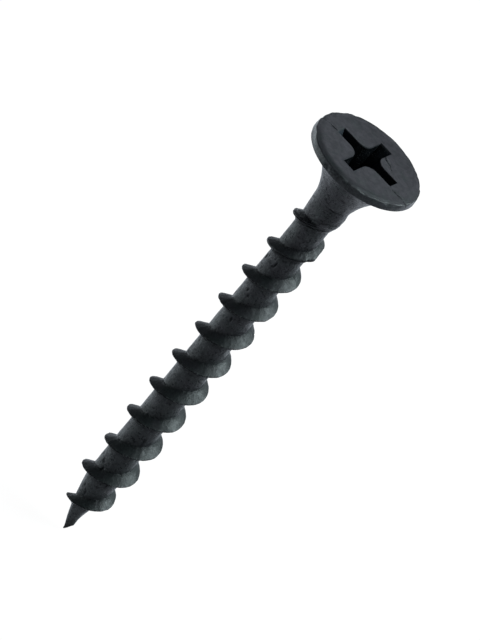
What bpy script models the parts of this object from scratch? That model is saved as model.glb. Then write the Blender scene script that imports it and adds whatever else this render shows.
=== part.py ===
"""Coarse-thread screw with a bugle head and a cross recess.

The screw is one solid piece of wire: a cold-formed head, a rolled right-hand
thread and a pinched point.  Lengths are in metres.  The axis of the screw is
Z with the head up, and z = 0 is the flat top of the head.  The four wings of
the recess lie along X and Y.
"""

import math

import bmesh
import bpy
from mathutils import Matrix, Vector

MM = 0.001

# ---- driving dimensions ----------------------------------------------------
LENGTH = 38.0 * MM            # top of the head to the tip of the point
HEAD_RADIUS = 4.28 * MM
RIM_HEIGHT = 0.60 * MM        # the flare of the underside starts here
EDGE_IN = 0.10 * MM           # rounded corner between the top and the rim
EDGE_DOWN = 0.13 * MM
BUGLE_DEPTH = 4.60 * MM       # depth at which the flared underside ends
BUGLE_POWER = 1.54            # how sharply the flare opens towards the rim
NECK_RADIUS = 1.38 * MM       # at the foot of the flare
BLEND_LENGTH = 1.50 * MM      # from the neck down to the core
CORE_RADIUS = 1.18 * MM
POINT_LENGTH = 5.36 * MM
POINT_POWER = 1.43            # 1 is a straight cone, more is rounder
TIP_RADIUS = 0.07 * MM
TIP_FLAT = 0.05 * MM          # the very end closes over this length

THREAD_RADIUS = 1.94 * MM
PITCH = 2.888 * MM            # close to nine turns to the inch
PHASE_DEG = -35.5             # the crest passes z = 0 at this angle
CREST_WIDTH = 0.10 * MM
FLANK_UP_DEG = 36.0           # flank facing the head, from the level plane
FLANK_DOWN_DEG = 29.5         # flank facing the point
THREAD_START_DEPTH = 4.30 * MM
FIRST_RISE_LENGTH = 2.30 * MM  # the run-out springs up over this depth
FIRST_RISE_SHARE = 0.72        # and reaches this share of the full height
FULL_HEIGHT_DEPTH = 12.2 * MM  # the height is whole from here down
CREST_POINT_POWER = 1.9        # how roundly the crest closes on the point
THREAD_END_DEPTH = 37.2 * MM
THREAD_END_FADE = 0.7 * MM     # the last stretch sinks into the point
SUNK_DEPTH = 0.12 * MM         # how far under the neck the thread begins
ROOT_SHARE = 0.72              # the ridge is buried down to this share of the core
ROOT_LIMIT = 0.80              # and never reaches past this share of its own crest
END_SHARE = 0.60               # the end of the thread lies at this share of the core

WING_RADIUS = 2.64 * MM       # half of the tip-to-tip size of the recess
WING_HALF_WIDTH = 0.51 * MM
PETAL_ROUND = 0.85 * MM       # rounding where two wings meet
RECESS_OFFSET = (-0.08 * MM, 0.04 * MM)  # the punch strikes a little off the axis
RECESS_DEPTH = 2.80 * MM
RECESS_CONE = 0.45 * MM       # the drill point below the wings
CUTTER_RISE = 0.50 * MM       # how far the cutter stands out of the head
WING_END_DEG = 26.5           # slope of the end of a wing, from the axis
FLOOR_HALF_WIDTH = 0.34 * MM
FLOOR_PETAL_ROUND = 0.50 * MM

TURN_STEPS = 40               # facets round the turned body
THREAD_STEPS = 32             # facets in one turn of the thread


def make_material(name, colour, roughness, metallic):
    """Return a Principled BSDF material."""
    material = bpy.data.materials.new(name)
    material.use_nodes = True
    shader = material.node_tree.nodes["Principled BSDF"]
    shader.inputs["Base Color"].default_value = (*colour, 1.0)
    shader.inputs["Roughness"].default_value = roughness
    shader.inputs["Metallic"].default_value = metallic
    material.diffuse_color = (*colour, 1.0)
    return material


def core_radius(depth):
    """Radius of the body under the thread, at a depth below the head's top."""
    point_start = LENGTH - POINT_LENGTH
    if depth > point_start:
        along = min((depth - point_start) / POINT_LENGTH, 1.0)
        return CORE_RADIUS * (1.0 - along ** POINT_POWER)
    if depth > BUGLE_DEPTH + BLEND_LENGTH:
        return CORE_RADIUS
    if depth > BUGLE_DEPTH:
        along = (depth - BUGLE_DEPTH) / BLEND_LENGTH
        return NECK_RADIUS + (CORE_RADIUS - NECK_RADIUS) * along
    rise = (BUGLE_DEPTH - depth) / (BUGLE_DEPTH - RIM_HEIGHT)
    flare = 1.0 - (1.0 - rise ** BUGLE_POWER) ** (1.0 / BUGLE_POWER)
    return NECK_RADIUS + (HEAD_RADIUS - NECK_RADIUS) * flare


def body_profile():
    """Half-section of head, neck, core and point, from the top to the tip."""
    profile = [(0.0, 0.0)]
    for angle in (0.0, 30.0, 60.0, 90.0):
        turn = math.radians(angle)
        radius = HEAD_RADIUS - EDGE_IN * (1.0 - math.sin(turn))
        profile.append((radius, -EDGE_DOWN * (1.0 - math.cos(turn))))
    for rise in (1.0, 0.96, 0.9, 0.8, 0.68, 0.54, 0.38, 0.2, 0.0):
        depth = BUGLE_DEPTH - rise * (BUGLE_DEPTH - RIM_HEIGHT)
        profile.append((core_radius(depth), -depth))
    profile.append((CORE_RADIUS, -(BUGLE_DEPTH + BLEND_LENGTH)))
    for along in (0.0, 0.2, 0.4, 0.6, 0.8, 0.93):
        depth = LENGTH - POINT_LENGTH * (1.0 - along)
        profile.append((core_radius(depth), -depth))
    profile.append((TIP_RADIUS, -(LENGTH - TIP_FLAT)))
    profile.append((0.0, -LENGTH))
    return profile


def turned_body(name, profile, steps, collection):
    """Spin a half-section round Z with the Screw modifier."""
    mesh = bpy.data.meshes.new(name)
    points = [(radius, 0.0, height) for radius, height in profile]
    edges = [(i, i + 1) for i in range(len(points) - 1)]
    mesh.from_pydata(points, edges, [])
    body = bpy.data.objects.new(name, mesh)
    collection.objects.link(body)
    spin = body.modifiers.new("spin", "SCREW")
    spin.axis = "Z"
    spin.steps = steps
    spin.render_steps = steps
    spin.use_merge_vertices = True
    spin.merge_threshold = 0.00001
    spin.use_smooth_shade = False
    return body


def smooth_step(low, high, value):
    """Rise smoothly from 0 at low to 1 at high."""
    along = min(max((value - low) / (high - low), 0.0), 1.0)
    return along * along * (3.0 - 2.0 * along)


def crest_radius(depth):
    """Outer radius of the thread: springs up at the run-out, closes on the point."""
    core = core_radius(depth)
    first = smooth_step(THREAD_START_DEPTH, THREAD_START_DEPTH + FIRST_RISE_LENGTH, depth)
    rest = smooth_step(THREAD_START_DEPTH + FIRST_RISE_LENGTH, FULL_HEIGHT_DEPTH, depth)
    share = first * (FIRST_RISE_SHARE + (1.0 - FIRST_RISE_SHARE) * rest)
    outer = core + (THREAD_RADIUS - CORE_RADIUS) * share - SUNK_DEPTH * (1.0 - first)
    to_tip = min((LENGTH - depth) / POINT_LENGTH, 1.0)
    point_limit = THREAD_RADIUS * (1.0 - (1.0 - to_tip) ** CREST_POINT_POWER)
    sink = smooth_step(THREAD_END_DEPTH - THREAD_END_FADE, THREAD_END_DEPTH, depth)
    return min(outer, point_limit) * (1.0 - sink) + END_SHARE * core * sink


def thread_ridge(name, collection):
    """Loft the thread along its helix; its root is buried in the core."""
    mesh = bmesh.new()
    rings = []
    turns = (THREAD_END_DEPTH - THREAD_START_DEPTH) / PITCH
    count = int(round(turns * THREAD_STEPS))
    up_slope = math.tan(math.radians(FLANK_UP_DEG))
    down_slope = math.tan(math.radians(FLANK_DOWN_DEG))
    for step in range(count + 1):
        depth = THREAD_START_DEPTH + PITCH * step / THREAD_STEPS
        angle = math.radians(PHASE_DEG) - 2.0 * math.pi * depth / PITCH
        outer = crest_radius(depth)
        inner = min(ROOT_SHARE * core_radius(depth), ROOT_LIMIT * outer)
        reach = outer - inner
        half = 0.5 * CREST_WIDTH
        section = (
            (inner, half + reach * up_slope),
            (outer, half),
            (outer, -half),
            (inner, -half - reach * down_slope),
        )
        direction = Vector((math.cos(angle), math.sin(angle), 0.0))
        ring = []
        for radius, lift in section:
            point = direction * radius + Vector((0.0, 0.0, lift - depth))
            ring.append(mesh.verts.new(point))
        rings.append(ring)
    for ring, following in zip(rings, rings[1:]):
        for i in range(4):
            j = (i + 1) % 4
            mesh.faces.new((ring[i], ring[j], following[j], following[i]))
    mesh.faces.new(rings[0])
    mesh.faces.new(list(reversed(rings[-1])))
    return finish_tool(mesh, name, collection)


def cross_outline(reach, half_width, petal_round):
    """Outline of a cross with rounded inner corners, as flat (x, y) points."""
    outline = []
    centre = half_width + petal_round
    for quarter in range(4):
        corner = [(reach, half_width)]
        for step in range(5):
            turn = math.radians(270.0 - 22.5 * step)
            x = centre + petal_round * math.cos(turn)
            y = centre + petal_round * math.sin(turn)
            corner.append((x, y))
        corner.append((half_width, reach))
        spin = Matrix.Rotation(0.5 * math.pi * quarter, 2)
        outline.extend(spin @ Vector(point) for point in corner)
    return outline


def recess_cutter(name, collection):
    """Tapered cross with a drill point: the shape of the driver's tip."""
    mesh = bmesh.new()
    end_slope = math.tan(math.radians(WING_END_DEG))
    side_slope = (WING_HALF_WIDTH - FLOOR_HALF_WIDTH) / RECESS_DEPTH
    round_slope = (PETAL_ROUND - FLOOR_PETAL_ROUND) / RECESS_DEPTH
    rings = []
    for height in (CUTTER_RISE, -RECESS_DEPTH):
        outline = cross_outline(
            WING_RADIUS + height * end_slope,
            WING_HALF_WIDTH + height * side_slope,
            PETAL_ROUND + height * round_slope,
        )
        rings.append([mesh.verts.new((p.x, p.y, height)) for p in outline])
    top, floor = rings
    count = len(top)
    for i in range(count):
        j = (i + 1) % count
        mesh.faces.new((floor[i], floor[j], top[j], top[i]))
    mesh.faces.new(top)
    nadir = mesh.verts.new((0.0, 0.0, -RECESS_DEPTH - RECESS_CONE))
    for i in range(count):
        j = (i + 1) % count
        mesh.faces.new((floor[j], floor[i], nadir))
    bmesh.ops.translate(mesh, verts=mesh.verts, vec=(*RECESS_OFFSET, 0.0))
    return finish_tool(mesh, name, collection)


def finish_tool(mesh, name, collection):
    """Turn a bmesh into a Boolean tool that is kept out of the finished part."""
    bmesh.ops.recalc_face_normals(mesh, faces=mesh.faces)
    data = bpy.data.meshes.new(name)
    mesh.to_mesh(data)
    mesh.free()
    tool = bpy.data.objects.new(name, data)
    collection.objects.link(tool)
    tool.hide_render = True
    tool.display_type = "WIRE"
    return tool


def add_boolean(target, tool, operation, name):
    """Add an exact Boolean to the target."""
    step = target.modifiers.new(name, "BOOLEAN")
    step.operation = operation
    step.solver = "EXACT"
    step.object = tool


def smooth_faces(target, angle_deg):
    """Smooth shading with sharp edges kept."""
    target.data.shade_smooth()
    target.data.set_sharp_from_angle(angle=math.radians(angle_deg))


def add_collection(name):
    """Make a collection in the scene."""
    collection = bpy.data.collections.new(name)
    bpy.context.scene.collection.children.link(collection)
    return collection


for old in list(bpy.data.objects):
    bpy.data.objects.remove(old, do_unlink=True)

parts = add_collection("wood_screw")
cutters = add_collection("cutters")

black_phosphate = make_material(
    "black_phosphate_steel", (0.045, 0.050, 0.053), 0.55, 0.6
)

screw = turned_body("wood_screw", body_profile(), TURN_STEPS, parts)
ridge = thread_ridge("thread_ridge", cutters)
cross = recess_cutter("recess_cross", cutters)
add_boolean(screw, ridge, "UNION", "roll_thread")
add_boolean(screw, cross, "DIFFERENCE", "punch_recess")
screw.data.materials.append(black_phosphate)
smooth_faces(screw, 30.0)
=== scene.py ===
"""Looks of a black coarse-thread screw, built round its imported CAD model.

The screw is one piece of phosphated steel.  Its surface is modelled here in
millimetres, in the CAD's frame: Z runs up the axis and z = 0 is the flat top
of the head.  It is scaled to metres when the mesh is made.
"""

import math

import bmesh
import bpy
import numpy as np
from mathutils import Matrix, Vector


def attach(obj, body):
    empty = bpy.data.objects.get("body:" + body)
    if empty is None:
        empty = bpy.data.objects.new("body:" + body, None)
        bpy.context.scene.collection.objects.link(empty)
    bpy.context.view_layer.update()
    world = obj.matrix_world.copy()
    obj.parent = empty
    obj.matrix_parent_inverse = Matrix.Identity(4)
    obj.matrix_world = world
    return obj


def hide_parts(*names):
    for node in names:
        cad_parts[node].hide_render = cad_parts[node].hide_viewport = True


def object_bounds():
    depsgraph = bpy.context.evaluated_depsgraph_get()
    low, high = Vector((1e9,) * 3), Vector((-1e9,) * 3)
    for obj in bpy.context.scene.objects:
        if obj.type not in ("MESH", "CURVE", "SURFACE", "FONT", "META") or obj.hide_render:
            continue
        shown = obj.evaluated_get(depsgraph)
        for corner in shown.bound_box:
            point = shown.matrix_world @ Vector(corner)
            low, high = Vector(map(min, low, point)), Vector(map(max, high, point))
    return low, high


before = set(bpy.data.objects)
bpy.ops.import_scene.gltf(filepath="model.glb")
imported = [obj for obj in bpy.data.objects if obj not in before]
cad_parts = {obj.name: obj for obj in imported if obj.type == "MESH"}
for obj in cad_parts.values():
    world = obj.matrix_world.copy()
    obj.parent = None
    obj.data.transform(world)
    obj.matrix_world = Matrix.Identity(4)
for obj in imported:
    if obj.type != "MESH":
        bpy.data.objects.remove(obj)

MM = 0.001
NODE = "wood_screw"
cad_low, cad_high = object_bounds()

# ---- sizes, in millimetres: the same screw as the CAD ------------------------
HEAD_RADIUS = cad_high.x / MM
LENGTH = -cad_low.z / MM
EDGE_IN = 0.10                 # the worn corner between the top and the rim
EDGE_DOWN = 0.13
RIM_HEIGHT = 0.60
BUGLE_DEPTH = 4.60
BUGLE_POWER = 1.54
NECK_RADIUS = 1.38
BLEND_LENGTH = 1.50
CORE_RADIUS = 1.18
POINT_LENGTH = 5.36
POINT_POWER = 1.43
TIP_RADIUS = 0.06

THREAD_RADIUS = 1.94
PITCH = 2.888
PHASE = math.radians(-35.5)
CREST_HALF = 0.035
FLANK_UP = math.tan(math.radians(36.0))
FLANK_DOWN = math.tan(math.radians(29.5))
CREST_POINT_POWER = 1.9

WING_RADIUS = 2.64
WING_HALF_WIDTH = 0.51
PETAL_ROUND = 0.85
RECESS_OFFSET = (-0.08, 0.04)
RECESS_DEPTH = 2.80
RECESS_CONE = 0.45
RECESS_END = 3.60              # nothing of the recess lies deeper than this
WING_END_SLOPE = math.tan(math.radians(26.5))
FLOOR_HALF_WIDTH = 0.34
FLOOR_PETAL_ROUND = 0.50
RECESS_LIP = 0.03              # tiny chamfer where the punch rolled the edge
RECESS_LEVELS = (-0.04, -0.12, -0.3, -0.6, -1.0, -1.6, -2.2, -RECESS_DEPTH)

COLUMNS = 150                  # facets round the screw
RUN_OUT_TOP = 3.90             # closely spaced rows from here to the neck ring
NECK_RING_DEPTH = 5.55         # the turned rows end here and the helical ones begin

# ---- where the camera stands -------------------------------------------------
VIEW_AZIMUTH_DEG = 13.6
VIEW_AZIMUTH = math.radians(VIEW_AZIMUTH_DEG)
VIEW_ELEVATION = math.radians(28.74)
VIEW_ROLL = math.radians(39.64)
VIEW_DISTANCE = 0.6803         # in metres, from the middle of the head's top
AIM_DOWN = 0.01397             # the aim point lies this far down the picture of the shank
AIM_ACROSS = 0.000314
LENS = 565.7
SENSOR = 36.0
TO_RIGHT = np.array((math.cos(VIEW_AZIMUTH), math.sin(VIEW_AZIMUTH), 0.0))
TO_CAMERA = np.array((math.sin(VIEW_AZIMUTH), -math.cos(VIEW_AZIMUTH), 0.0))

# ---- how this screw strays from the ideal one, in millimetres ----------------
# "Side" is the angle in radians from the camera's right: -pi/2 is the front.
HEAD_LEAN = math.radians(0.7)  # the head is set a hair askew, towards the camera
HEAD_SHIFT = 0.05              # and a little to the camera's right of the axis
TIP_SHIFT = 0.09               # the pinched tip leans the same way
HEAD_BULGES = (                # side, how far out of round, angular width
    (2.35, 0.11, 0.45),
    (0.85, -0.10, 0.40),
    (0.00, 0.04, 0.30),
)
KNOCKED_SIDE = -1.9            # the rim is knocked about most at this side

# Noise is listed as height, cell and seed.
SKIN_SWELL = ((0.010, 0.60, 21), (0.006, 0.22, 22))
SHANK_SWELL = ((0.012, 0.30, 23),)
FACE_WAVES = ((0.006, 0.90, 41), (0.003, 0.25, 42))

# The run-out: the first turn and a half is not yet rolled to its full shape.
# Depth of the crest against share of the full height, and against half-width.
GROWTH = ((4.6, 0.22), (5.3, 0.30), (5.9, 0.26), (6.5, 0.66), (8.3, 0.63), (9.7, 0.86), (12.2, 1.0))
BLUNTNESS = ((5.6, 0.16), (6.4, 0.07), (8.2, 0.11), (9.8, 0.06), (11.6, CREST_HALF))
LEDGE_DEPTH = 4.16             # top of the band on the neck
FOLD_DEPTHS = ((-2.1, 5.90), (-1.42, 5.52), (-1.08, 5.24), (-0.3, 5.14), (1.0, 5.30))
BAND_RADIUS = 1.46
RUN_OUT_END = 6.60

# The dies leave the turns a little unevenly spaced: how far each sits below its place.
WANDER = (
    (6.0, -0.10), (9.5, 0.03), (15.4, 0.09), (19.0, 0.09), (22.0, 0.03),
    (26.5, -0.02), (30.0, 0.02), (32.4, -0.08), (35.5, -0.12),
)

# Crest depth, how much is lost there (or raised, below zero) and over what length.
WORN_STRETCHES = (
    (8.00, -0.140, 0.130), (8.27, 0.020, 0.060), (8.43, -0.085, 0.085),
    (27.05, 0.06, 0.26), (29.95, 0.17, 0.26), (32.80, 0.06, 0.26),
)
NICK_COUNT = 46
NICK_SEED = 11

# The pinched tip: distance from the end and radius of the wedge on one side.
TIP_WEDGE = (
    (0.05, 0.06), (0.27, 0.20), (0.58, 0.36), (0.74, 0.46), (1.30, 0.49), (2.0, 0.62), (2.9, 0.80),
)
WEDGE_LENGTH = 2.9

# Scale pits that show: depth, side, half-width, half-height and how deep.
KNOWN_PITS = (
    (3.00, -2.04, 0.09, 0.15, 0.070),
    (2.81, -1.30, 0.10, 0.09, 0.070),
    (3.70, -1.85, 0.05, 0.12, 0.050),
    (7.90, -1.45, 0.05, 0.09, 0.050),
    (10.62, -2.74, 0.12, 0.22, 0.100),
    (10.30, -2.52, 0.08, 0.09, 0.070),
    (10.34, -1.74, 0.07, 0.22, 0.090),
    (10.62, -1.86, 0.10, 0.07, 0.070),
    (13.30, -2.10, 0.09, 0.14, 0.070),
    (13.60, -1.85, 0.11, 0.10, 0.080),
    (15.90, -1.70, 0.08, 0.20, 0.070),
    (31.20, -2.20, 0.12, 0.12, 0.080),
    (31.60, -1.95, 0.09, 0.18, 0.080),
    (34.10, -1.90, 0.08, 0.22, 0.060),
)
PIT_COUNT = 110
PIT_SEED = 5
PITS_TOP, PITS_END = 1.6, 35.0

# Marks on the head: start, end, half-width and strength.
FACE_SEAMS = (
    ((-2.75, -0.40, 0.02), (-4.30, -0.58, -0.20), 0.100, 1.0),
    ((2.95, -0.63, 0.02), (4.30, -0.50, -0.20), 0.100, 1.0),
    ((0.50, 1.76, 0.02), (0.70, 1.56, 0.02), 0.090, 1.0),
    ((0.70, 1.56, 0.02), (1.16, 1.42, 0.02), 0.080, 1.0),
    ((1.16, 1.42, 0.02), (1.52, 1.12, 0.02), 0.070, 0.9),
)
FACE_CHIPS = (
    ((0.78, 1.42, 0.02), (1.10, 1.26, 0.02), 0.110, 0.60),
    ((0.60, 1.86, 0.02), (1.00, 1.66, 0.02), 0.070, 0.55),
    ((1.80, -3.76, -0.08), (2.15, -3.58, -0.08), 0.150, 0.95),
    ((2.80, -2.98, -0.08), (3.05, -2.80, -0.08), 0.110, 0.80),
    ((-1.30, -4.02, -0.08), (-0.90, -4.10, -0.08), 0.080, 0.50),
)

# ---- colours of the coat -----------------------------------------------------
VIOLET_GREYS = ((0.026, 0.026, 0.031, 1.0), (0.040, 0.040, 0.047, 1.0))
GREEN_GREYS = ((0.022, 0.027, 0.029, 1.0), (0.032, 0.040, 0.041, 1.0))
SPECKLE = (0.008, 0.009, 0.011, 1.0)
BLOT = (0.006, 0.007, 0.009, 1.0)
GLINT = (0.140, 0.150, 0.155, 1.0)
REAR = (0.012, 0.011, 0.015, 1.0)
FLANK = (0.008, 0.011, 0.012, 1.0)
RUBBED_RIM = (0.130, 0.143, 0.147, 1.0)
WORN = (0.120, 0.126, 0.128, 1.0)
# painted shade for the thread's roots, undersides and run-out lines, also the dark of the head's seams
SHADE_AND_SEAM_DARK = (0.007, 0.008, 0.010, 1.0)
RECESS_WALL = (0.042, 0.050, 0.060, 1.0)
# painted shade on the recess walls that face the light
RECESS_PAINTED_SHADE = (0.003, 0.004, 0.005, 1.0)
RECESS_FLECK = (0.20, 0.21, 0.22, 1.0)

# ---- light -------------------------------------------------------------------
GLOW = (0.84, 0.91, 1.0, 1.0)
WHITE = (1.0, 1.0, 1.0, 1.0)
GLOW_BELOW = 0.38              # pale paper round the screw
GLOW_ABOVE = 0.016             # a dark ceiling
GAIN_BEHIND = 3.7              # how much brighter it is behind the screw
GAIN_LEFT = 1.1                # and to the camera's left
# Name, azimuth from the camera's, elevation, distance, size, power and colour.
SOFT_BOXES = (
    ("left_box", -94.0, -12.0, 0.40, (0.58, 0.24), 0.60, (0.86, 0.97, 1.0)),
    ("high_right_box", 112.0, 48.0, 0.40, (0.30, 0.30), 1.58, (0.84, 0.98, 1.0)),
    ("back_box", 180.0, 27.0, 0.40, (0.26, 0.14), 0.09, (0.86, 0.88, 1.0)),
)
FLOOR_HALF_SIDE = 3.0
FLOOR_GAP = 0.0001
FLOOR_COLOUR = (0.10, 0.10, 0.10, 1.0)
FLOOR_GLOW = 0.97


# ---- small helpers -----------------------------------------------------------
def smooth_step(low, high, value):
    """Rise smoothly from 0 at low to 1 at high."""
    along = np.clip((value - low) / (high - low), 0.0, 1.0)
    return along * along * (3.0 - 2.0 * along)


def smooth_max(first, second, blend):
    """The larger of two heights, with a fillet of about the blend's width."""
    share = np.clip(0.5 + 0.5 * (first - second) / blend, 0.0, 1.0)
    return second + (first - second) * share + blend * share * (1.0 - share)


def bell(value, centre, width):
    """A smooth bump, 1 at its centre and about a third at its width."""
    return np.exp(-(((value - centre) / width) ** 2))


def ramp(value, stops):
    """Piecewise smooth curve through a few (value, result) stops."""
    result = np.full(np.shape(value), stops[0][1])
    for (low, start), (high, end) in zip(stops, stops[1:]):
        result = result + (end - start) * smooth_step(low, high, value)
    return result


def hashed(cells, seed):
    """A fixed pseudo-random value from -1 to 1 for each lattice cell."""
    mixed = cells[:, 0] * 73856093 ^ cells[:, 1] * 19349663 ^ cells[:, 2] * 83492791
    mixed = (mixed ^ seed * 2654435761) * 1274126177
    mixed = (mixed ^ (mixed >> 15)) * 2246822519
    mixed = mixed ^ (mixed >> 13)
    return (mixed & 0xFFFF) / 32767.5 - 1.0


def lattice_noise(points, cell, seed):
    """Smooth noise from -1 to 1 with features about one cell across."""
    grid = points / cell
    base = np.floor(grid).astype(np.int64)
    part = grid - base
    part = part * part * (3.0 - 2.0 * part)
    total = np.zeros(len(points))
    for corner in range(8):
        step = np.array([(corner >> axis) & 1 for axis in range(3)])
        weight = np.prod(np.where(step, part, 1.0 - part), axis=1)
        total += weight * hashed(base + step, seed)
    return total


def layered_noise(points, layers):
    """Several layers of noise, each given as height, cell and seed."""
    return sum(height * lattice_noise(points, cell, seed) for height, cell, seed in layers)


def along_helix(crest_depth, cell, seed):
    """Noise that runs along the thread's crest."""
    flat = crest_depth.reshape(-1, 1)
    points = np.concatenate([flat, np.zeros_like(flat), np.zeros_like(flat)], axis=1)
    return lattice_noise(points, cell, seed).reshape(crest_depth.shape)


def angle_between(angle, centre):
    """Signed difference of two angles, from -pi to pi."""
    return (angle - centre + math.pi) % (2.0 * math.pi) - math.pi


def side_of(angle):
    """The same angle counted from the camera's right."""
    return angle_between(angle, VIEW_AZIMUTH)


def direction(azimuth, elevation):
    """Unit vector to a place whose azimuth is counted from -Y."""
    level = math.cos(elevation)
    return Vector((math.sin(azimuth) * level, -math.cos(azimuth) * level, math.sin(elevation)))


# ---- head, neck and core -----------------------------------------------------
def core_radius(depth):
    """Radius of the body under the thread."""
    rise = np.clip((BUGLE_DEPTH - depth) / (BUGLE_DEPTH - RIM_HEIGHT), 0.0, 1.0)
    flare = 1.0 - (1.0 - rise ** BUGLE_POWER) ** (1.0 / BUGLE_POWER)
    neck = NECK_RADIUS + (HEAD_RADIUS - NECK_RADIUS) * flare
    blend = np.clip((depth - BUGLE_DEPTH) / BLEND_LENGTH, 0.0, 1.0)
    shank = NECK_RADIUS + (CORE_RADIUS - NECK_RADIUS) * blend
    along = np.clip((depth - LENGTH + POINT_LENGTH) / POINT_LENGTH, 0.0, 1.0)
    point = CORE_RADIUS * (1.0 - along ** POINT_POWER)
    radius = np.where(depth < BUGLE_DEPTH, neck, shank)
    return np.where(depth > LENGTH - POINT_LENGTH, point, radius)


def run_out_lines(angle):
    """Where the run-out's ledge and fold lie, and how much of it there is at this angle."""
    side = side_of(angle)
    ledge = LEDGE_DEPTH + 0.02 * np.sin(9.0 * side)
    fold = ramp(side, FOLD_DEPTHS) + 0.015 * np.sin(13.0 * side)
    around = smooth_step(-2.10, -1.20, side) * smooth_step(1.35, 0.75, side)
    return ledge, fold, around


def run_out_bulge(angle, depth, core):
    """The broad band on one side of the neck where the rolling dies first bit."""
    ledge, fold, around = run_out_lines(angle)
    soft = 0.06 + 0.70 * smooth_step(-0.9, 0.0, side_of(angle))
    step = smooth_step(ledge - 0.02, ledge + soft, depth)
    band = BAND_RADIUS + 0.035 * smooth_step(4.3, 5.2, depth)
    drop = 0.015 * smooth_step(fold - 0.01, fold + 0.06, depth)
    drop = drop + 0.32 * np.clip((depth - 5.50) / 0.90, 0.0, 1.0) ** 1.25
    shape = core + np.maximum(band - drop - core, 0.0) * step * around
    crease = 0.028 * bell(depth, ledge - 0.03, 0.035) + 0.040 * bell(depth, fold + 0.03, 0.040)
    return np.where(depth < RUN_OUT_END, shape - crease * around, core)


def tip_burr(angle, depth, core):
    """Wedge on one side of the tip where the thread was pinched off."""
    to_end = LENGTH - depth
    wedge = np.interp(to_end, *zip(*TIP_WEDGE))
    share = smooth_step(1.35, 0.25, np.abs(side_of(angle))) * smooth_step(WEDGE_LENGTH, 2.2, to_end)
    return core + np.maximum(wedge - core, 0.0) * share


# ---- thread ------------------------------------------------------------------
def crest_radius(crest_depth):
    """Outer radius of the thread, with the small unevenness of rolled metal."""
    share = ramp(crest_depth, GROWTH) * smooth_step(4.2, 4.9, crest_depth)
    outer = core_radius(crest_depth) + (THREAD_RADIUS - CORE_RADIUS) * share
    for place, loss, length in WORN_STRETCHES:
        outer = outer - loss * bell(crest_depth, place, length)
    to_tip = np.clip((LENGTH - crest_depth) / POINT_LENGTH, 0.0, 1.0)
    limit = THREAD_RADIUS * (1.0 - (1.0 - to_tip) ** CREST_POINT_POWER)
    limit = limit * smooth_step(1.0, 2.1, LENGTH - crest_depth)
    uneven = 0.013 * along_helix(crest_depth, 0.21, 3) + 0.009 * along_helix(crest_depth, 0.06, 4)
    early = 1.0 + 1.2 * smooth_step(9.5, 6.0, crest_depth)
    return np.minimum(outer, limit) + uneven * early * np.clip(to_tip * 3.0, 0.0, 1.0)


def nicks(crest_depth):
    """Small notches knocked out of the crest as the screws tumble together."""
    depth = np.zeros_like(crest_depth)
    random = np.random.default_rng(NICK_SEED)
    for _ in range(NICK_COUNT):
        place = random.uniform(6.0, 36.0)
        width = random.uniform(0.010, 0.030)
        bite = random.uniform(0.015, 0.060)
        depth = depth + bite * bell(crest_depth, place, width)
    return depth


def shank_radius(angle, depth, crest_depth, lift):
    """Radius of neck, core, thread and point; the lift is the height above the crest."""
    core = run_out_bulge(angle, depth, core_radius(depth))
    core = np.where(depth > LENGTH - WEDGE_LENGTH, tip_burr(angle, depth, core), core)
    crest = crest_radius(crest_depth)
    lift = lift - 0.012 * along_helix(crest_depth, 0.12, 8)
    slope = np.where(lift > 0.0, FLANK_UP, FLANK_DOWN)
    ridge = crest - np.maximum(np.abs(lift) - ramp(crest_depth, BLUNTNESS), 0.0) / slope

    # the first turns: a seam along the crest, a fold above it and a second lip below
    seam = 0.075 * bell(lift, 0.0, 0.035) * smooth_step(10.5, 7.0, crest_depth)
    fold = 0.050 * bell(lift, 0.17, 0.030) * smooth_step(8.5, 6.6, crest_depth)
    ridge = ridge - (seam + fold) * smooth_step(5.4, 5.9, crest_depth)
    second = 0.11 * bell(lift, -0.36, 0.055)
    second = second * smooth_step(5.6, 5.9, crest_depth) * smooth_step(7.8, 7.0, crest_depth)

    ridge = np.minimum(ridge, crest - nicks(crest_depth))
    radius = smooth_max(ridge, core + second, 0.04)
    to_end = np.clip((LENGTH - depth) / TIP_RADIUS, 0.0, 1.0)
    return np.maximum(radius, TIP_RADIUS * np.sqrt(1.0 - (1.0 - to_end) ** 2))


def below_crest(angle, depth):
    """How far a point lies below the nearest crest, from -PITCH / 2 to PITCH / 2."""
    place = depth - ramp(depth, WANDER)
    turns = (place / PITCH + (angle - PHASE) / (2.0 * math.pi) + 0.5) % 1.0 - 0.5
    return PITCH * turns


# ---- wear and tear of the surface --------------------------------------------
def pits(points):
    """Depth of the small pits that scale leaves in the neck and shank."""
    random = np.random.default_rng(PIT_SEED)
    x, y, z = points.T
    angle = np.arctan2(y, x)
    radius = np.hypot(x, y)
    holes = list(KNOWN_PITS)
    for _ in range(PIT_COUNT):
        wide = random.uniform(0.05, 0.13)
        tall = wide * random.uniform(0.8, 2.6)
        place = (random.uniform(PITS_TOP, PITS_END), random.uniform(-math.pi, math.pi))
        holes.append((*place, wide, tall, random.uniform(0.012, 0.050)))
    total = np.zeros(len(points))
    for depth, side, wide, tall, deep in holes:
        across = angle_between(angle, VIEW_AZIMUTH + side) * radius / wide
        total += deep * np.exp(-(across ** 2) - ((-z - depth) / tall) ** 2)
    return total


def sink_pits(points):
    """Push the pits into the neck and the core, but not into the thread."""
    radius = np.hypot(points[:, 0], points[:, 1])
    on_shank = smooth_step(1.0, PITS_TOP, -points[:, 2]) * smooth_step(1.75, 1.55, radius)
    shrink = 1.0 - pits(points) * on_shank / np.maximum(radius, 0.3)
    return points * np.stack([shrink, shrink, np.ones_like(shrink)], axis=1)


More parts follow.
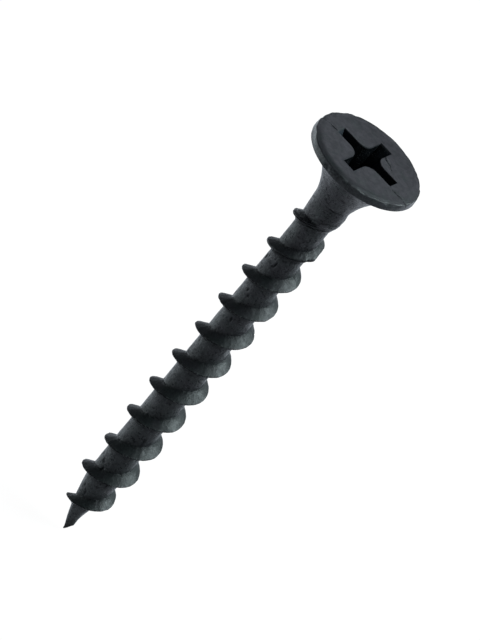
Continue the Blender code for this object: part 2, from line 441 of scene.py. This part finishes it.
def edge_dents(points, depth, radius, worse):
    """Depth of the knocks round the corner of the head."""
    edge = smooth_step(HEAD_RADIUS - 0.50, HEAD_RADIUS - 0.02, radius) * smooth_step(0.62, 0.20, depth)
    dent = np.maximum(lattice_noise(points, 0.45, 31) - 0.10, 0.0) * (0.05 + 0.09 * worse)
    dent = dent + np.maximum(lattice_noise(points, 0.17, 32) - 0.25, 0.0) * (0.03 + 0.06 * worse)
    dent = dent + 0.07 * worse * smooth_step(0.40, 0.0, depth)
    return dent * edge


def out_of_round(side, depth, radius):
    """How far the head bulges past its circle, or falls short of it."""
    oval = sum(rise * bell(angle_between(side, centre), 0.0, width) for centre, rise, width in HEAD_BULGES)
    return oval * smooth_step(1.6, 0.7, depth) * smooth_step(3.0, 4.2, radius)


def roughen(points):
    """Push the skin in and out a little: rolled, tumbled and coated metal isn't smooth."""
    x, y, z = points.T
    radius = np.hypot(x, y)
    depth = -z
    side = side_of(np.arctan2(y, x))
    outward = np.stack([x, y, np.zeros_like(x)], axis=1) / np.maximum(radius, 1e-6)[:, None]
    worse = 0.5 + 0.5 * np.cos(angle_between(side, KNOCKED_SIDE))
    dents = edge_dents(points, depth, radius, worse)

    not_flat = smooth_step(0.02, 0.10, depth) * smooth_step(0.0, 1.5, LENGTH - depth)
    along = layered_noise(points * (1.0, 1.0, 0.35), SHANK_SWELL) * smooth_step(5.5, 7.0, depth)
    swell = (layered_noise(points, SKIN_SWELL) + along) * not_flat
    moved = points + outward * (swell - dents + out_of_round(side, depth, radius))[:, None]

    on_top = (depth < 0.02) & (radius < HEAD_RADIUS)
    roll = (0.02 + 0.10 * worse) * smooth_step(HEAD_RADIUS - 0.75, HEAD_RADIUS, radius) ** 1.5
    moved[:, 2] += np.where(on_top, layered_noise(points, FACE_WAVES) - 0.010 - roll, -0.6 * dents)
    return set_askew(points, moved)


def set_askew(points, moved):
    """Lean the head and shift it and the tip a hair to one side."""
    depth = -points[:, 2]
    moved[:, 2] -= smooth_step(2.6, 0.8, depth) * math.tan(HEAD_LEAN) * (points @ TO_CAMERA)
    aside = HEAD_SHIFT * smooth_step(6.0, 4.0, depth) + TIP_SHIFT * smooth_step(1.8, 0.0, LENGTH - depth)
    return moved + aside[:, None] * TO_RIGHT


# ---- the skin ----------------------------------------------------------------
def lifts_in_a_pitch():
    """Heights over one pitch, from above a crest to below it, dense on the ridge."""
    top = PITCH / 2.0
    stretches = (
        (top, 0.62, 7),
        (0.62, 0.30, 6),
        (0.30, CREST_HALF, 7),
        (CREST_HALF, -CREST_HALF, 2),
        (-CREST_HALF, -0.28, 7),
        (-0.28, -0.54, 4),
        (-0.54, -top, 8),
    )
    lifts = [np.linspace(high, low, count, endpoint=False) for high, low, count in stretches]
    return np.concatenate(lifts)


def head_profile():
    """Half-section of the head from its middle to the neck ring, as radius and depth."""
    face = [(radius, 0.0) for radius in np.linspace(0.0, HEAD_RADIUS - EDGE_IN, 34)[1:]]
    corner = []
    for turn in np.linspace(0.0, math.pi / 2.0, 9)[1:]:
        radius = HEAD_RADIUS - EDGE_IN * (1.0 - math.sin(turn))
        corner.append((radius, EDGE_DOWN * (1.0 - math.cos(turn))))
    band = [(HEAD_RADIUS, depth) for depth in np.linspace(EDGE_DOWN, RIM_HEIGHT, 5)[1:]]
    under = RIM_HEIGHT + np.linspace(0.0, 1.0, 36)[1:] ** 1.8 * (RUN_OUT_TOP - RIM_HEIGHT)
    run_out = np.linspace(RUN_OUT_TOP, NECK_RING_DEPTH, 38)[1:]
    neck = [(float(core_radius(depth)), depth) for depth in np.concatenate([under, run_out])]
    return face + corner + band + neck


def add_turned_rows(vertices, faces, angles):
    """Add the head and neck; give the numbers of the vertices in the last ring."""
    previous = None
    for radius, depth in head_profile():
        around = np.full(COLUMNS, radius)
        if depth > RUN_OUT_TOP:
            around = run_out_bulge(angles, np.full(COLUMNS, depth), around)
        ring = list(range(len(vertices), len(vertices) + COLUMNS))
        vertices.extend(zip(around * np.cos(angles), around * np.sin(angles), np.full(COLUMNS, -depth)))
        for j in range(COLUMNS):
            k = (j + 1) % COLUMNS
            if previous is None:
                faces.append((0, ring[j], ring[k]))
            else:
                faces.append((previous[j], ring[j], ring[k], previous[k]))
        previous = ring
    return previous


def add_helical_rows(vertices, faces, angles, neck_ring):
    """Add the threaded shank and the point; rows that rise past the neck ring join it."""
    lifts = lifts_in_a_pitch()
    per_pitch = len(lifts)
    turns = int(math.ceil(LENGTH / PITCH)) + 4
    turn = np.repeat(np.arange(-1, turns - 1), per_pitch)
    lift = np.tile(lifts, turns)
    crest_depth = PITCH * turn[:, None] - (PITCH * (angles - PHASE) / (2.0 * math.pi))[None, :]
    lift = np.broadcast_to(lift[:, None], crest_depth.shape)
    depth = crest_depth + ramp(crest_depth, WANDER) - lift
    angle = np.broadcast_to(angles[None, :], depth.shape)
    radius = shank_radius(angle, depth, crest_depth, lift)

    above = depth <= NECK_RING_DEPTH + 0.02
    below = depth >= LENGTH - 0.03
    own = ~(above | below)
    first = len(vertices)
    tip = first + int(own.sum())
    numbers = np.full(depth.shape, tip)
    numbers[own] = first + np.arange(own.sum())
    numbers[above] = np.broadcast_to(np.array(neck_ring)[None, :], depth.shape)[above]
    skin = np.stack([radius * np.cos(angle), radius * np.sin(angle), -depth], axis=-1)[own]
    vertices.extend(map(tuple, skin))
    vertices.append((0.0, 0.0, -LENGTH))

    for i in range(depth.shape[0] - 1):
        for j in range(COLUMNS):
            if j + 1 < COLUMNS:
                right = (numbers[i, j + 1], numbers[i + 1, j + 1])
            elif i >= per_pitch:
                right = (numbers[i - per_pitch, 0], numbers[i + 1 - per_pitch, 0])
            else:
                right = (neck_ring[0], neck_ring[0])
            corners = (numbers[i, j], numbers[i + 1, j], right[1], right[0])
            loop = list(dict.fromkeys(int(number) for number in corners))
            if len(loop) >= 3:
                faces.append(tuple(loop))


def skin_mesh(name):
    """The whole skin of the screw: turned rows over the head, helical rows below."""
    angles = 2.0 * math.pi * np.arange(COLUMNS) / COLUMNS
    vertices = [(0.0, 0.0, 0.0)]
    faces = []
    neck_ring = add_turned_rows(vertices, faces, angles)
    add_helical_rows(vertices, faces, angles, neck_ring)
    points = roughen(sink_pits(np.array(vertices)))
    mesh = bpy.data.meshes.new(name)
    mesh.from_pydata(points * MM, [], faces)
    mesh.validate()
    return mesh


# ---- the recess --------------------------------------------------------------
def recess_section(depth):
    """Reach, half-width and inner rounding of the cross at a depth."""
    reach = WING_RADIUS - depth * WING_END_SLOPE
    half_width = WING_HALF_WIDTH - depth * (WING_HALF_WIDTH - FLOOR_HALF_WIDTH) / RECESS_DEPTH
    petal_round = PETAL_ROUND - depth * (PETAL_ROUND - FLOOR_PETAL_ROUND) / RECESS_DEPTH
    return reach, half_width, petal_round


def cross_outline(reach, half_width, petal_round):
    """Outline of a cross with rounded inner corners."""
    outline = []
    centre = half_width + petal_round
    for quarter in range(4):
        corner = [(reach, half_width)]
        for turn in np.radians(270.0 - np.linspace(0.0, 90.0, 11)):
            corner.append((centre + petal_round * math.cos(turn), centre + petal_round * math.sin(turn)))
        corner.append((half_width, reach))
        spin = Matrix.Rotation(0.5 * math.pi * quarter, 2)
        outline.extend(spin @ Vector(point) for point in corner)
    return outline


def recess_cutter():
    """Tapered cross with a drill point and a small chamfer at its mouth."""
    mesh = bmesh.new()
    levels = [(0.5, RECESS_LIP), (0.02, RECESS_LIP)]
    levels += [(height, 0.0) for height in RECESS_LEVELS]
    rings = []
    for height, lip in levels:
        reach, half_width, petal_round = recess_section(max(-height, 0.0))
        ring = []
        for point in cross_outline(reach + lip, half_width + lip, petal_round - lip):
            place = (point.x + RECESS_OFFSET[0], point.y + RECESS_OFFSET[1], height)
            ring.append(mesh.verts.new(Vector(place) * MM))
        rings.append(ring)
    count = len(rings[0])
    for upper, lower in zip(rings, rings[1:]):
        for i in range(count):
            j = (i + 1) % count
            mesh.faces.new((lower[i], lower[j], upper[j], upper[i]))
    mesh.faces.new(rings[0])
    nadir = mesh.verts.new(Vector((*RECESS_OFFSET, -RECESS_DEPTH - RECESS_CONE)) * MM)
    for i in range(count):
        j = (i + 1) % count
        mesh.faces.new((rings[-1][j], rings[-1][i], nadir))
    bmesh.ops.recalc_face_normals(mesh, faces=mesh.faces)
    data = bpy.data.meshes.new("recess_cutter")
    mesh.to_mesh(data)
    mesh.free()
    return bpy.data.objects.new("recess_cutter", data)


def inside_recess(points, depth):
    """How far a point lies inside the walls of the cross; below zero outside them."""
    reach, half_width, petal_round = recess_section(depth)
    across = np.abs(points[:, :2] - RECESS_OFFSET)
    long, short = across.max(axis=1), across.min(axis=1)
    petal = half_width + petal_round
    in_petal = np.hypot(petal - long, petal - short) - petal_round
    on_wing = np.where(long > petal, half_width - short, in_petal)
    return np.minimum(on_wing, reach - long)


# ---- making the piece --------------------------------------------------------
def cut(target, tool):
    """Cut the tool out of the target for good."""
    bpy.context.scene.collection.objects.link(tool)
    step = target.modifiers.new(tool.name, "BOOLEAN")
    step.operation = "DIFFERENCE"
    step.solver = "EXACT"
    step.object = tool
    graph = bpy.context.evaluated_depsgraph_get()
    mesh = bpy.data.meshes.new_from_object(target.evaluated_get(graph))
    target.modifiers.clear()
    target.data = mesh
    bpy.data.objects.remove(tool)


def make_screw():
    """The visible screw."""
    piece = bpy.data.objects.new("screw_skin", skin_mesh("screw_skin"))
    bpy.context.scene.collection.objects.link(piece)
    cut(piece, recess_cutter())
    piece.data.shade_smooth()
    piece.data.set_sharp_from_angle(angle=math.radians(32.0))
    mark_surface(piece.data)
    piece.data.materials.clear()
    piece.data.materials.append(black_phosphate())
    return piece


# ---- marks that the material reads -------------------------------------------
def vertex_vectors(mesh, name):
    """One of the vertices' vector properties, as an array."""
    flat = np.zeros(3 * len(mesh.vertices))
    mesh.vertices.foreach_get(name, flat)
    return flat.reshape(-1, 3)


def paint_attribute(mesh, name, values):
    """Store one number per vertex for the material to read."""
    layer = mesh.attributes.new(name, "FLOAT", "POINT")
    layer.data.foreach_set("value", np.clip(values, 0.0, 1.0).astype(np.float32))


def mark_surface(mesh):
    """Say where the coat is worn thin, and where shade is painted on it."""
    points = vertex_vectors(mesh, "co") / MM
    x, y, z = points.T
    depth = -z
    radius = np.hypot(x, y)
    angle = np.arctan2(y, x)

    # the recess, and painted shade on those of its walls that face the camera's right, where the light falls
    inside = inside_recess(points, depth)
    recess = smooth_step(0.0, 0.10, depth) * (inside > -0.12) * (depth < RECESS_END)
    facing = vertex_vectors(mesh, "normal") @ TO_RIGHT
    lit_wall_share = smooth_step(-0.1, 0.3, facing) * (x > RECESS_OFFSET[0] - 0.6 * WING_RADIUS)
    paint_attribute(mesh, "recess", recess)
    paint_attribute(mesh, "recess_shade", recess * lit_wall_share)

    # the head's rim, rubbed most on the camera's left
    left = 0.5 - 0.5 * np.cos(side_of(angle))
    rim = smooth_step(HEAD_RADIUS - 0.25, HEAD_RADIUS - 0.12, radius) * smooth_step(0.10, 0.22, depth)
    paint_attribute(mesh, "rim", rim * left)

    # worn edges: the recess's lip, the head's corner, the crests and the second lip
    below = below_crest(angle, depth)
    height = (radius - core_radius(depth)) / (THREAD_RADIUS - CORE_RADIUS)
    lip = smooth_step(0.12, 0.0, np.abs(inside)) * smooth_step(0.12, 0.04, depth)
    corner = smooth_step(HEAD_RADIUS - 0.22, HEAD_RADIUS - 0.03, radius) * smooth_step(0.50, 0.12, depth)
    crest = smooth_step(0.78, 0.98, height) * smooth_step(0.20, 0.03, np.abs(below)) * (depth > 5.6)
    second = bell(below, 0.38, 0.10) * smooth_step(5.9, 6.2, depth) * smooth_step(8.0, 7.5, depth)
    paint_attribute(mesh, "wear", np.max([0.4 * lip, 0.30 * corner, crest, 0.8 * second], axis=0))

    # painted shade: the root of the thread, under the crests and along the run-out's ledge and fold lines
    threaded = smooth_step(5.5, 7.0, depth)
    root = smooth_step(0.30, 0.04, height) * smooth_step(0.95, 0.50, np.abs(below)) * 0.55
    under = smooth_step(-0.07, -0.02, below) * smooth_step(0.66, 0.40, below)
    ledge, fold, around = run_out_lines(angle)
    lines = (0.45 * bell(depth, ledge, 0.045) + 1.5 * bell(depth, fold, 0.060)) * around
    paint_attribute(mesh, "shade", np.maximum(np.maximum(root, under) * threaded, lines))

    # the upper flanks, the coarse coat of neck and core, and the pits
    flank = smooth_step(0.05, 0.30, height) * smooth_step(0.0, -0.05, below) * threaded
    coarse = smooth_step(0.15, 0.9, depth) * (1.0 - recess) * (1.0 - 0.65 * flank)
    pit = smooth_step(0.010, 0.045, pits(points)) * (height < 0.6) * (depth > PITS_TOP)
    paint_attribute(mesh, "flank", flank)
    paint_attribute(mesh, "coarse", coarse)
    paint_attribute(mesh, "pit", pit)


# ---- material ----------------------------------------------------------------
class Nodes:
    """Small helper that adds and joins shader nodes."""

    def __init__(self, tree):
        self.tree = tree

    def add(self, kind, **settings):
        node = self.tree.nodes.new(kind)
        for key, value in settings.items():
            setattr(node, key, value)
        return node

    def feed(self, socket, value):
        if isinstance(value, bpy.types.NodeSocket):
            self.tree.links.new(value, socket)
        else:
            socket.default_value = value

    def noise(self, where, scale, detail=3.0, roughness=0.55, distortion=0.0):
        node = self.add("ShaderNodeTexNoise")
        self.feed(node.inputs["Vector"], where)
        node.inputs["Scale"].default_value = scale
        node.inputs["Detail"].default_value = detail
        node.inputs["Roughness"].default_value = roughness
        node.inputs["Distortion"].default_value = distortion
        return node.outputs["Fac"]

    def span(self, value, low, high, start=0.0, end=1.0):
        node = self.add("ShaderNodeMapRange", interpolation_type="SMOOTHSTEP")
        for socket, number in zip(node.inputs, (value, low, high, start, end)):
            self.feed(socket, number)
        return node.outputs[0]

    def math(self, operation, first, second):
        node = self.add("ShaderNodeMath", operation=operation)
        self.feed(node.inputs[0], first)
        self.feed(node.inputs[1], second)
        return node.outputs[0]

    def plus(self, first, second):
        return self.math("ADD", first, second)

    def minus(self, first, second):
        return self.math("SUBTRACT", first, second)

    def times(self, first, second):
        return self.math("MULTIPLY", first, second)

    def most(self, first, second):
        return self.math("MAXIMUM", first, second)

    def mix(self, share, first, second):
        node = self.add("ShaderNodeMix", data_type="RGBA")
        self.feed(node.inputs["Factor"], share)
        colours = [socket for socket in node.inputs if socket.type == "RGBA"]
        self.feed(colours[0], first)
        self.feed(colours[1], second)
        return [socket for socket in node.outputs if socket.type == "RGBA"][0]

    def vector(self, operation, first, second=None, result=0):
        node = self.add("ShaderNodeVectorMath", operation=operation)
        self.feed(node.inputs[0], first)
        if second is not None:
            self.feed(node.inputs["Scale" if operation == "SCALE" else 1], second)
        return node.outputs[result]

    def parts(self, vector):
        node = self.add("ShaderNodeSeparateXYZ")
        self.feed(node.inputs[0], vector)
        return node.outputs

    def streak(self, where, ragged, start, end, width, strength):
        """Mask of one ragged scratch between two points."""
        start, end = Vector(start), Vector(end)
        span = end - start
        offset = self.vector("SUBTRACT", where, start)
        along = self.vector("DOT_PRODUCT", offset, span / span.length_squared, 1)
        along = self.math("MINIMUM", self.most(along, 0.0), 1.0)
        nearest = self.vector("SCALE", span, along)
        gap = self.vector("LENGTH", self.vector("SUBTRACT", offset, nearest), None, 1)
        gap = self.plus(gap, self.span(ragged, 0.35, 0.65, -0.5 * width, 0.5 * width))
        return self.span(gap, 0.35 * width, width, strength, 0.0)

    def streaks(self, where, ragged, lines):
        """Mask of several scratches."""
        total = 0.0
        for line in lines:
            total = self.plus(total, self.streak(where, ragged, *line))
        return total

    def read(self, name):
        node = self.add("ShaderNodeAttribute", attribute_name=name)
        return node.outputs["Fac"]

    def bump(self, height, distance, strength, normal=None):
        node = self.add("ShaderNodeBump")
        node.inputs["Strength"].default_value = strength
        node.inputs["Distance"].default_value = distance
        self.feed(node.inputs["Height"], height)
        if normal is not None:
            self.feed(node.inputs["Normal"], normal)
        return node.outputs["Normal"]


def coat_colour(nodes, noise, drift, coarse, blot):
    """Mottled coat, drifting between a violet grey and a green grey, with flecks."""
    mottle = nodes.span(noise["patches"], 0.34, 0.68)
    violet = nodes.mix(mottle, *VIOLET_GREYS)
    green = nodes.mix(mottle, *GREEN_GREYS)
    colour = nodes.mix(nodes.span(drift, 0.48, 0.68), violet, green)
    speckle = nodes.times(nodes.span(noise["grain"], 0.38, 0.60, 0.55, 0.0), nodes.times(coarse, 0.35))
    colour = nodes.mix(speckle, colour, SPECKLE)
    colour = nodes.mix(blot, colour, BLOT)
    glint = nodes.times(nodes.span(noise["flakes"], 0.595, 0.650), nodes.times(coarse, 0.50))
    return nodes.mix(glint, colour, GLINT)


def recess_colour(nodes, grain):
    """Dark walls with painted shade on those that would catch the light, and a few light flecks."""
    # painted shade on the walls that face the camera's right
    hollow = nodes.mix(nodes.read("recess_shade"), RECESS_WALL, RECESS_PAINTED_SHADE)
    return nodes.mix(nodes.span(grain, 0.60, 0.68, 0.0, 0.5), hollow, RECESS_FLECK)


def relief(nodes, where, noise, coarse, cracks):
    """Fine relief, with distances in metres; the flat top is the smoothest part."""
    normal = nodes.bump(nodes.noise(where, 1.6, 3.0, 0.5), 0.000018, 0.35)
    normal = nodes.bump(nodes.times(noise["blots"], coarse), 0.000110, 0.60, normal)
    scaly = nodes.times(noise["flakes"], nodes.plus(nodes.times(coarse, 0.85), 0.15))
    normal = nodes.bump(scaly, 0.000034, 0.50, normal)
    normal = nodes.bump(cracks, 0.000030, 0.80, normal)
    fine = nodes.times(noise["grain"], nodes.plus(nodes.times(coarse, 0.8), 0.2))
    return nodes.bump(fine, 0.000010, 0.35, normal)


def black_phosphate():
    """Mottled grey-black phosphate coat, worn where the metal was knocked about."""
    material = bpy.data.materials.new("black_phosphate_steel")
    material.use_nodes = True
    shader = material.node_tree.nodes["Principled BSDF"]
    nodes = Nodes(material.node_tree)
    place = nodes.add("ShaderNodeTexCoord").outputs["Object"]
    where = nodes.vector("SCALE", place, 1.0 / MM)
    noise = {
        "patches": nodes.noise(where, 2.4, 5.0, 0.62, 0.5),
        "grain": nodes.noise(where, 14.0, 3.0, 0.7),
        "flakes": nodes.noise(where, 6.5, 4.0, 0.65, 0.9),
        "blots": nodes.noise(where, 3.6, 4.0, 0.58, 1.6),
    }
    patches, grain, flakes = noise["patches"], noise["grain"], noise["flakes"]
    recess = nodes.read("recess")
    coarse = nodes.read("coarse")
    flank = nodes.read("flank")

    # the coat, greener towards the point, with dark blots and pits
    parts = nodes.parts(where)
    drift = nodes.minus(nodes.noise(where, 0.9, 2.0, 0.5), nodes.times(parts["Z"], 0.007))
    blot = nodes.times(nodes.span(noise["blots"], 0.445, 0.385), nodes.times(coarse, 0.75))
    blot = nodes.most(blot, nodes.read("pit"))
    colour = coat_colour(nodes, noise, drift, coarse, blot)

    # the far side of the head's top and the rolled flanks are a shade darker
    rear = nodes.times(nodes.span(parts["Y"], 0.8, 3.4), nodes.minus(1.0, coarse))
    colour = nodes.mix(nodes.times(rear, 0.40), colour, REAR)
    colour = nodes.mix(nodes.times(flank, 0.30), colour, FLANK)

    # rubbed and chipped places; painted shade in the roots, under the crests and along the run-out's lines,
    # with the dark seams on the head; and the hollow
    rim = nodes.times(nodes.read("rim"), nodes.span(flakes, 0.40, 0.60, 0.10, 0.75))
    colour = nodes.mix(rim, colour, RUBBED_RIM)
    chips = nodes.streaks(where, flakes, FACE_CHIPS)
    worn = nodes.times(nodes.read("wear"), nodes.span(flakes, 0.52, 0.60, 0.02, 0.95))
    worn = nodes.most(worn, chips)
    colour = nodes.mix(worn, colour, WORN)
    seams = nodes.streaks(where, flakes, FACE_SEAMS)
    # painted shade in the roots, under the crests and on the run-out's lines, joined with the head's dark
    # seams
    shade_and_seams = nodes.most(nodes.times(nodes.read("shade"), 0.75), seams)
    shade_and_seams = nodes.most(nodes.minus(shade_and_seams, nodes.times(worn, 0.6)), 0.0)
    colour = nodes.mix(shade_and_seams, colour, SHADE_AND_SEAM_DARK)
    colour = nodes.mix(nodes.times(recess, 0.97), colour, recess_colour(nodes, grain))
    nodes.feed(shader.inputs["Base Color"], colour)

    rough = nodes.plus(nodes.span(patches, 0.35, 0.68, 0.46, 0.34), nodes.span(grain, 0.3, 0.7, -0.05, 0.07))
    for mask, rougher in ((recess, 0.25), (blot, 0.20), (flank, 0.05)):
        rough = nodes.plus(rough, nodes.times(mask, rougher))
    nodes.feed(shader.inputs["Roughness"], rough)

    dull = 0.0
    for mask, loss in ((recess, 0.60), (shade_and_seams, 0.42), (blot, 0.34), (rear, 0.14)):
        dull = nodes.most(dull, nodes.times(mask, loss))
    nodes.feed(shader.inputs["Specular IOR Level"], nodes.minus(0.60, dull))
    nodes.feed(shader.inputs["Metallic"], nodes.times(worn, 0.45))

    cracks = nodes.minus(nodes.times(chips, 0.5), seams)
    nodes.feed(shader.inputs["Normal"], relief(nodes, where, noise, coarse, cracks))
    return material


# ---- stage -------------------------------------------------------------------
def place_camera():
    """Long-lens camera above the head, rolled so that the screw leans to the right."""
    toward = direction(VIEW_AZIMUTH, VIEW_ELEVATION)
    level = Vector(TO_RIGHT)
    raised = toward.cross(level)
    right = level * math.cos(VIEW_ROLL) + raised * math.sin(VIEW_ROLL)
    place = toward * VIEW_DISTANCE
    aim = raised * -AIM_DOWN + level * AIM_ACROSS
    back = (place - aim).normalized()
    right = (right - back * right.dot(back)).normalized()
    up = back.cross(right)
    data = bpy.data.cameras.new("camera")
    data.sensor_width = SENSOR
    data.lens = LENS
    data.clip_start = 0.01
    data.clip_end = 20.0
    camera = bpy.data.objects.new("camera", data)
    rows = zip(right, up, back, place)
    camera.matrix_world = Matrix([list(row) for row in rows] + [[0.0, 0.0, 0.0, 1.0]])
    bpy.context.scene.collection.objects.link(camera)
    bpy.context.scene.camera = camera


def soft_light(name, azimuth, elevation, distance, size, power, colour):
    """A soft box aimed at the middle of the screw; the azimuth is from the camera's."""
    data = bpy.data.lights.new(name, "AREA")
    data.shape = "RECTANGLE"
    data.size, data.size_y = size
    data.energy = power
    data.color = colour
    light = bpy.data.objects.new(name, data)
    toward = direction(VIEW_AZIMUTH + math.radians(azimuth), math.radians(elevation))
    middle = (cad_low + cad_high) / 2.0
    light.location = middle + toward * distance
    light.rotation_euler = toward.to_track_quat("Z", "Y").to_euler()
    light.visible_camera = False
    bpy.context.scene.collection.objects.link(light)


def make_world():
    """White behind the screw; on it, light thrown up by pale paper under a dark ceiling."""
    world = bpy.data.worlds.new("studio")
    world.use_nodes = True
    world.node_tree.nodes.clear()
    nodes = Nodes(world.node_tree)
    place = nodes.add("ShaderNodeTexCoord").outputs["Generated"]
    strength = nodes.span(nodes.parts(place)["Z"], -0.40, 0.12, GLOW_BELOW, GLOW_ABOVE)
    for facing, start, full, gain in (
        (-TO_CAMERA, 0.1, 0.9, GAIN_BEHIND),
        (-TO_RIGHT, 0.20, 0.42, GAIN_LEFT),
    ):
        toward = nodes.vector("DOT_PRODUCT", place, facing, 1)
        strength = nodes.times(strength, nodes.span(toward, start, full, 1.0, gain))
    given = nodes.add("ShaderNodeBackground")
    given.inputs["Color"].default_value = GLOW
    nodes.feed(given.inputs["Strength"], strength)
    seen = nodes.add("ShaderNodeBackground")
    seen.inputs["Color"].default_value = WHITE
    choice = nodes.add("ShaderNodeMixShader")
    nodes.feed(choice.inputs[0], nodes.add("ShaderNodeLightPath").outputs["Is Camera Ray"])
    nodes.feed(choice.inputs[1], given.outputs[0])
    nodes.feed(choice.inputs[2], seen.outputs[0])
    output = nodes.add("ShaderNodeOutputWorld")
    nodes.feed(output.inputs["Surface"], choice.outputs[0])
    bpy.context.scene.world = world


def make_floor():
    """Pale sheet under the point of the screw."""
    side = FLOOR_HALF_SIDE
    z = cad_low.z - FLOOR_GAP
    mesh = bpy.data.meshes.new("floor")
    corners = [(-side, -side, z), (side, -side, z), (side, side, z), (-side, side, z)]
    mesh.from_pydata(corners, [], [(0, 1, 2, 3)])
    floor = bpy.data.objects.new("floor", mesh)
    bpy.context.scene.collection.objects.link(floor)
    material = bpy.data.materials.new("pale_paper")
    material.use_nodes = True
    shader = material.node_tree.nodes["Principled BSDF"]
    shader.inputs["Base Color"].default_value = FLOOR_COLOUR
    shader.inputs["Roughness"].default_value = 1.0
    shader.inputs["Specular IOR Level"].default_value = 0.0
    shader.inputs["Emission Color"].default_value = WHITE
    shader.inputs["Emission Strength"].default_value = FLOOR_GLOW
    mesh.materials.append(material)
    floor.visible_diffuse = False
    floor.visible_glossy = False
    floor.visible_shadow = False


bpy.context.scene.view_settings.view_transform = "Standard"
screw = make_screw()
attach(screw, "root")
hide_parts(NODE)

make_floor()
make_world()
for box in SOFT_BOXES:
    soft_light(*box)
place_camera()
